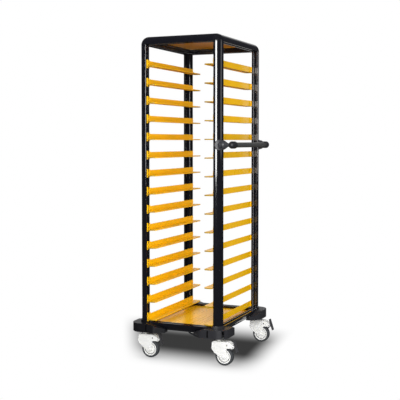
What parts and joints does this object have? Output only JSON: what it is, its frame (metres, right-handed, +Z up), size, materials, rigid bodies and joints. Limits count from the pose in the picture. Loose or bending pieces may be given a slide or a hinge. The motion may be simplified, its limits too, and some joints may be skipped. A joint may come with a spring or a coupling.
{
  "type": "tray return trolley",
  "caption": "Tall open tray return trolley: black quarter-round frame, yellow tray runners and panels, side push handle, corner bumpers and braked swivel casters.",
  "frame": {"origin": "on the floor under the middle of the overall box", "axes": "+Z up; trays slide in along +Y from the front, which is -Y; the push handle and the released brake pedals are at +X"},
  "size_m": [0.62, 0.722, 1.777],
  "materials": {
    "black_extrusion": "gloss black coat on extruded aluminium",
    "black_moulding": "gloss black corner mouldings",
    "yellow_sheet": "satin yellow powder coat on sheet steel",
    "bumper_plastic": "charcoal moulded plastic, finely grained",
    "handle_tube": "dark grey coat on aluminium tube",
    "handle_moulding": "charcoal moulded plastic",
    "zinc_steel": "bright zinc-plated steel",
    "white_nylon": "white moulded nylon",
    "grey_tyre": "dark grey soft tread",
    "pedal_plastic": "dark grey moulded plastic"
  },
  "bodies": {
    "frame": {"post_fl": "black_extrusion", "post_fr": "black_extrusion", "post_bl": "black_extrusion", "post_br": "black_extrusion", "base_rail_front": "black_extrusion", "base_rail_back": "black_extrusion", "base_rail_left": "black_extrusion", "base_rail_right": "black_extrusion", "top_rail_front": "black_extrusion", "top_rail_back": "black_extrusion", "top_rail_left": "black_extrusion", "top_rail_right": "black_extrusion", "top_corners": "black_moulding", "top_panel": "yellow_sheet", "base_deck": "yellow_sheet", "bumper_fl": "bumper_plastic", "bumper_fr": "bumper_plastic", "bumper_bl": "bumper_plastic", "bumper_br": "bumper_plastic", "runners_01": "yellow_sheet", "runners_02": "yellow_sheet", "runners_03": "yellow_sheet", "runners_04": "yellow_sheet", "runners_05": "yellow_sheet", "runners_06": "yellow_sheet", "runners_07": "yellow_sheet", "runners_08": "yellow_sheet", "runners_09": "yellow_sheet", "runners_10": "yellow_sheet", "runners_11": "yellow_sheet", "runners_12": "yellow_sheet", "runners_13": "yellow_sheet", "runners_14": "yellow_sheet", "runners_15": "yellow_sheet", "runner_bolts": "zinc_steel", "handle_clamp_front": "handle_moulding", "handle_clamp_back": "handle_moulding", "handle_bar": "handle_tube", "handle_screws": "zinc_steel", "caster_stems": "zinc_steel"},
    "swivel_fl": {"fork_fl": "white_nylon", "pins_fl": "zinc_steel"},
    "roller_fl": {"wheel_fl": "white_nylon", "tyre_fl": "grey_tyre"},
    "brake_fl": {"pedal_fl": "pedal_plastic"},
    "swivel_fr": {"fork_fr": "white_nylon", "pins_fr": "zinc_steel"},
    "roller_fr": {"wheel_fr": "white_nylon", "tyre_fr": "grey_tyre"},
    "brake_fr": {"pedal_fr": "pedal_plastic"},
    "swivel_bl": {"fork_bl": "white_nylon", "pins_bl": "zinc_steel"},
    "roller_bl": {"wheel_bl": "white_nylon", "tyre_bl": "grey_tyre"},
    "brake_bl": {"pedal_bl": "pedal_plastic"},
    "swivel_br": {"fork_br": "white_nylon", "pins_br": "zinc_steel"},
    "roller_br": {"wheel_br": "white_nylon", "tyre_br": "grey_tyre"},
    "brake_br": {"pedal_br": "pedal_plastic"}
  },
  "joints": [
    {"name": "swivel_turn_fl", "type": "hinge", "parent": "frame", "child": "swivel_fl", "pos_m": [-0.24652, -0.2975, 0.131], "axis": [0, 0, 1], "continuous": true},
    {"name": "wheel_spin_fl", "type": "hinge", "parent": "swivel_fl", "child": "roller_fl", "pos_m": [-0.20852, -0.2975, 0.05], "axis": [0, 1, 0], "continuous": true},
    {"name": "brake_press_fl", "type": "hinge", "parent": "swivel_fl", "child": "brake_fl", "pos_m": [-0.15701, -0.2975, 0.104], "axis": [0, 1, 0], "range_deg": [0, 20]},
    {"name": "swivel_turn_fr", "type": "hinge", "parent": "frame", "child": "swivel_fr", "pos_m": [0.19648, -0.2975, 0.131], "axis": [0, 0, 1], "continuous": true},
    {"name": "wheel_spin_fr", "type": "hinge", "parent": "swivel_fr", "child": "roller_fr", "pos_m": [0.23448, -0.2975, 0.05], "axis": [0, 1, 0], "continuous": true},
    {"name": "brake_press_fr", "type": "hinge", "parent": "swivel_fr", "child": "brake_fr", "pos_m": [0.28598, -0.2975, 0.104], "axis": [0, 1, 0], "range_deg": [0, 20]},
    {"name": "swivel_turn_bl", "type": "hinge", "parent": "frame", "child": "swivel_bl", "pos_m": [-0.24652, 0.2975, 0.131], "axis": [0, 0, 1], "continuous": true},
    {"name": "wheel_spin_bl", "type": "hinge", "parent": "swivel_bl", "child": "roller_bl", "pos_m": [-0.20852, 0.2975, 0.05], "axis": [0, 1, 0], "continuous": true},
    {"name": "brake_press_bl", "type": "hinge", "parent": "swivel_bl", "child": "brake_bl", "pos_m": [-0.15701, 0.2975, 0.104], "axis": [0, 1, 0], "range_deg": [0, 20]},
    {"name": "swivel_turn_br", "type": "hinge", "parent": "frame", "child": "swivel_br", "pos_m": [0.19648, 0.2975, 0.131], "axis": [0, 0, 1], "continuous": true},
    {"name": "wheel_spin_br", "type": "hinge", "parent": "swivel_br", "child": "roller_br", "pos_m": [0.23448, 0.2975, 0.05], "axis": [0, 1, 0], "continuous": true},
    {"name": "brake_press_br", "type": "hinge", "parent": "swivel_br", "child": "brake_br", "pos_m": [0.28598, 0.2975, 0.104], "axis": [0, 1, 0], "range_deg": [0, 20]}
  ]
}
